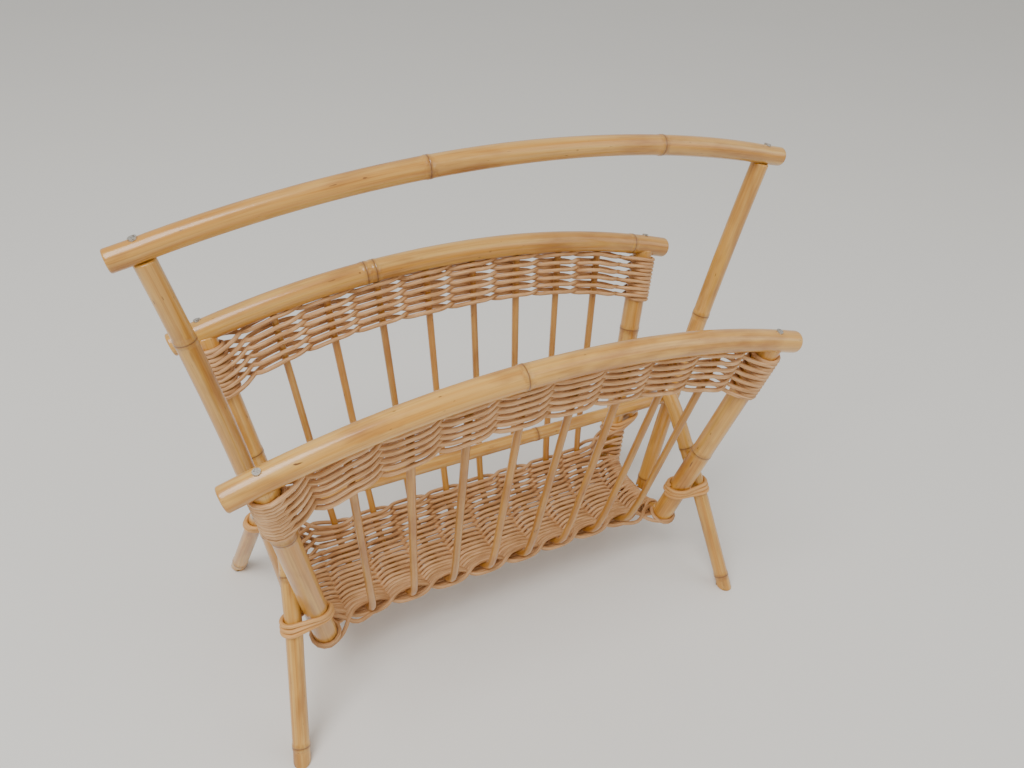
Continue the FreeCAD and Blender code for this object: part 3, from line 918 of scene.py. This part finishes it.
def model_tray():
    """The tray's rows of twining, as one piece."""
    looks = bpy.context.scene.rack_weave
    draw = random.Random("tray")
    line = stake_lines["stake_4"]
    start = line.mark_where(Y, 0.0)
    marks = [line.mark_where(Y, tray_rim(1)) - start - looks.strand / 2,
             line.mark_where(Y, tray_rim(-1)) - start + looks.strand / 2]
    strands = []
    for row in range(looks.tray_rows):
        supports, lay = tray_row(row, looks.tray_rows, marks)
        points = twined_row(supports, -looks.lift, lay, draw)
        strands.append(strand("row", points, draw))
    piece = join("tray_strands", strands)
    return finish_piece(piece, weave_material(), ["tray_weave"])


# ---- lashings ------------------------------------------------------------------------------

LASHING_TURNS = 3
TURN_POINTS = 44
# distance from one turn to the next, in strands
TURN_PITCH = 1.02
ARCH_SEARCH_STEPS = 300


def belt_points(post, post_radius, leg, leg_radius, axis, count):
    """A closed belt round a post and a leg: points on both circles, in the order of their turn."""
    across = leg - post
    across = across - axis * across.dot(axis)
    reach = across.length
    across.normalize()
    beside = axis.cross(across)
    spread = math.acos((post_radius - leg_radius) / reach)
    points = []
    for step in range(count):
        turn = 2 * math.pi * step / count - math.pi
        on_leg = abs(turn) < spread
        centre, radius = (post + across * reach, leg_radius) if on_leg else (post, post_radius)
        points.append(centre + (across * math.cos(turn) + beside * math.sin(turn)) * radius)
    return points


def model_lashing(panel, end):
    """Three turns of split cane round an end post and an arch."""
    looks = bpy.context.scene.rack_weave
    node = "lashing_%s_%s" % (panel, end)
    low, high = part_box(node)
    middle = (low.z + high.z) / 2
    post, arch = post_lines[panel, end], arch_lines[end]
    post_mark = (middle - post.at(0).z) / post.direction(post.length / 2).z
    half = arch.length / 2
    first, last = (0, half) if panel == "front" else (half, arch.length)
    marks = np.linspace(first, last, ARCH_SEARCH_STEPS)
    arch_mark = min(marks, key=lambda mark: abs(arch.at(mark).z - middle))
    climb = arch.direction(arch_mark)
    climb = climb if climb.z > 0 else -climb
    axis = (post.direction(post_mark) + climb).normalized()
    sign = 1 if panel == "front" else -1
    points = []
    for turn in range(LASHING_TURNS):
        lift = (turn - (LASHING_TURNS - 1) / 2) * looks.strand * TURN_PITCH
        post_centre = post.at(post_mark + lift)
        leg_centre = arch.at(arch_mark + sign * lift)
        ring = belt_points(post_centre, POST_RADIUS + looks.strand / 2, leg_centre,
                           LEG_RADIUS + looks.strand / 2, axis, TURN_POINTS)
        for place, point in enumerate(ring):
            points.append(point + axis * (looks.strand * (place / TURN_POINTS - 0.5)))
    draw = random.Random(node)
    piece = strand(node + "_turns", points, draw, closed=False)
    return finish_piece(piece, lashing_material(), [node])


# ---- operators -----------------------------------------------------------------------------

class RackOperator(bpy.types.Operator):
    bl_options = {"REGISTER", "UNDO"}


class RACK_OT_handle(RackOperator):
    """Model the carry handle, its two posts and the pole between them"""
    bl_idname = "rack.handle"
    bl_label = "Carry handle"

    def execute(self, context):
        line = bow_line("carry_handle")
        joints = [line.mark_where(X, across) for across in HANDLE_JOINTS]
        piece = cane("carry_handle_cane", line, HANDLE_RADIUS, joints, seed=1)
        finish_piece(piece, pole_material(), ["carry_handle"])
        for seed, end in enumerate(ENDS, start=2):
            node = "handle_post_" + end
            line = handle_post_line(node)
            joints = [line.mark_where(Z, level) for level in HANDLE_POST_JOINTS[end]]
            piece = cane(node + "_cane", line, HANDLE_POST_RADIUS, joints, seed=seed)
            finish_piece(piece, pole_material(), [node])
        line = square_cut_line("centre_stretcher", X, 11, 20 * MM, 0.0)
        joints = [line.length * STRETCHER_JOINT]
        piece = cane("centre_stretcher_cane", line, STRETCHER_RADIUS, joints, seed=4)
        finish_piece(piece, pole_material(), ["centre_stretcher"])
        return {"FINISHED"}


class RACK_OT_rails(RackOperator):
    """Model the front and rear rails"""
    bl_idname = "rack.rails"
    bl_label = "Rails"

    def execute(self, context):
        for seed, panel in enumerate(PANELS, start=5):
            line = rail_lines[panel]
            joints = [line.mark_where(X, across) for across in RAIL_JOINTS[panel]]
            piece = cane(panel + "_rail_cane", line, RAIL_RADIUS, joints, seed=seed, sides_step=10)
            finish_piece(piece, pole_material(), [panel + "_rail"])
        return {"FINISHED"}


class RACK_OT_posts(RackOperator):
    """Model the four end posts of the panels"""
    bl_idname = "rack.posts"
    bl_label = "End posts"

    def execute(self, context):
        for seed, ((panel, end), line) in enumerate(post_lines.items(), start=7):
            joints = [line.mark_where(Z, POST_JOINTS[panel, end])]
            node = "%s_post_%s" % (panel, end)
            piece = cane(node + "_cane", line, POST_RADIUS, joints, seed=seed, sides_step=9)
            finish_piece(piece, pole_material(), [node])
        return {"FINISHED"}


class RACK_OT_arches(RackOperator):
    """Bend the two leg arches and cut their feet level with the floor"""
    bl_idname = "rack.arches"
    bl_label = "Leg arches"

    def execute(self, context):
        for seed, end in enumerate(ENDS, start=11):
            line = arch_lines[end]
            front_leg = Line(line.points[: len(line.points) // 2])
            foot_joint = front_leg.mark_where(Z, FOOT_JOINT)
            joints = [foot_joint, line.length - foot_joint, line.length / 2 * ARCH_JOINT]
            piece = cane("leg_arch_%s_cane" % end, line, LEG_RADIUS, joints, seed=seed)
            cut_at_floor(piece)
            finish_piece(piece, pole_material(), ["leg_arch_" + end])
        return {"FINISHED"}


FLOOR_GAP = 0.2 * MM
FOOT_WEAR = 0.9 * MM


def cut_at_floor(piece):
    """Cut a cane level, just clear of the floor, and wear the cut's rim."""
    deselect_all()
    bpy.context.view_layer.objects.active = piece
    piece.select_set(True)
    bpy.ops.object.mode_set(mode="EDIT")
    bpy.ops.mesh.select_all(action="SELECT")
    bpy.ops.mesh.bisect(plane_co=(0, 0, FLOOR_GAP), plane_no=(0, 0, 1), use_fill=True,
                        clear_inner=True)
    bpy.ops.mesh.bevel(offset=FOOT_WEAR, segments=3, affect="EDGES")
    bpy.ops.object.mode_set(mode="OBJECT")


class RACK_OT_stakes(RackOperator):
    """Model the eight bent stakes and the two bent end ribs"""
    bl_idname = "rack.stakes"
    bl_label = "Stakes and ribs"

    def execute(self, context):
        for seed, node in enumerate(STAKES, start=21):
            piece = cane(node + "_cane", stake_lines[node], STAKE_RADIUS, seed=seed, sides_step=5)
            finish_piece(piece, stake_material(), [node])
        for seed, end in enumerate(ENDS, start=31):
            piece = cane("end_rib_%s_cane" % end, rib_lines[end], RIB_RADIUS, seed=seed,
                         sides_step=5)
            finish_piece(piece, stake_material(), ["end_rib_" + end])
        return {"FINISHED"}


class RACK_OT_bands(RackOperator):
    """Twine the bands of weave under the two rails"""
    bl_idname = "rack.bands"
    bl_label = "Bands of weave"

    def execute(self, context):
        for panel in PANELS:
            model_band(panel)
        return {"FINISHED"}


class RACK_OT_tray(RackOperator):
    """Twine the tray"""
    bl_idname = "rack.tray"
    bl_label = "Tray"

    def execute(self, context):
        model_tray()
        return {"FINISHED"}


class RACK_OT_lashings(RackOperator):
    """Lash the arches to the end posts"""
    bl_idname = "rack.lashings"
    bl_label = "Lashings"

    def execute(self, context):
        for panel in PANELS:
            for end in ENDS:
                model_lashing(panel, end)
        return {"FINISHED"}


class RACK_OT_nails(RackOperator):
    """Give the nails their steel"""
    bl_idname = "rack.nails"
    bl_label = "Nails"

    def execute(self, context):
        steel = wire_nail_steel()
        for name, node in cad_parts.items():
            if name.endswith("_nails"):
                for material_slot in node.material_slots:
                    material_slot.material = steel
        return {"FINISHED"}


FLOOR_SIZE = 14
LIGHT_AIM = Vector((0, 0, 0.15))


class RACK_OT_stage(RackOperator):
    """Lay the floor, hang the lights and stand the camera"""
    bl_idname = "rack.stage"
    bl_label = "Floor, lights and camera"

    def execute(self, context):
        stage = context.scene.rack_stage
        deselect_all()
        bpy.ops.mesh.primitive_plane_add(size=FLOOR_SIZE)
        floor = context.object
        floor.name = "floor"
        floor.data.materials.append(painted_floor())
        self.add_light("key light", place=(-0.9, -0.5, 1.9), size=1.1, power=stage.key_power)
        self.add_light("fill light", place=(1.5, -1.2, 1.3), size=1.6, power=stage.fill_power)
        world = bpy.data.worlds.new("soft studio")
        world.use_nodes = True
        background = world.node_tree.nodes["Background"]
        background.inputs["Color"].default_value = linear("#F2F1EE")
        background.inputs["Strength"].default_value = 0.7
        context.scene.world = world
        self.stand_camera(context, stage)
        return {"FINISHED"}

    def add_light(self, name, place, size, power):
        """A square light that faces the rack."""
        facing = (LIGHT_AIM - Vector(place)).to_track_quat("-Z", "Y")
        bpy.ops.object.light_add(type="AREA", location=place, rotation=facing.to_euler())
        light = bpy.context.object
        light.name = name
        light.data.size = size
        light.data.energy = power

    def stand_camera(self, context, stage):
        """A camera at its place, turned, tilted and rolled."""
        forward = Vector((math.sin(stage.turn) * math.cos(stage.tilt),
                          math.cos(stage.turn) * math.cos(stage.tilt),
                          -math.sin(stage.tilt)))
        level = forward.to_track_quat("-Z", "Y")
        turned = Matrix.Rotation(-stage.roll, 3, forward) @ level.to_matrix()
        bpy.ops.object.camera_add(location=stage.camera_place, rotation=turned.to_euler())
        camera = context.object
        camera.name = "camera"
        camera.data.lens = stage.lens
        camera.data.clip_start = 10 * MM
        context.scene.camera = camera


class RACK_PT_panel(bpy.types.Panel):
    """The rack's pieces and settings"""
    bl_idname = "RACK_PT_panel"
    bl_label = "Magazine Rack"
    bl_space_type = "VIEW_3D"
    bl_region_type = "UI"
    bl_category = "Magazine Rack"

    def draw(self, context):
        layout = self.layout
        for group in SETTINGS:
            settings = getattr(context.scene, group)
            box = layout.box()
            for name in settings.__annotations__:
                box.prop(settings, name)
        for operator in OPERATORS:
            layout.operator(operator.bl_idname)


OPERATORS = (RACK_OT_handle, RACK_OT_rails, RACK_OT_posts, RACK_OT_arches, RACK_OT_stakes,
             RACK_OT_bands, RACK_OT_tray, RACK_OT_lashings, RACK_OT_nails, RACK_OT_stage)
SETTINGS = {"rack_cane": RackCaneSettings, "rack_weave": RackWeaveSettings,
            "rack_stage": RackStageSettings}


def register():
    for item in (*SETTINGS.values(), *OPERATORS, RACK_PT_panel):
        bpy.utils.register_class(item)
    for name, group in SETTINGS.items():
        setattr(bpy.types.Scene, name, PointerProperty(type=group))


def unregister():
    for name in SETTINGS:
        delattr(bpy.types.Scene, name)
    for item in (RACK_PT_panel, *reversed(OPERATORS), *reversed(list(SETTINGS.values()))):
        bpy.utils.unregister_class(item)


def main():
    register()
    for operator in OPERATORS:
        group, name = operator.bl_idname.split(".")
        getattr(getattr(bpy.ops, group), name)()


if __name__ == "__main__":
    main()
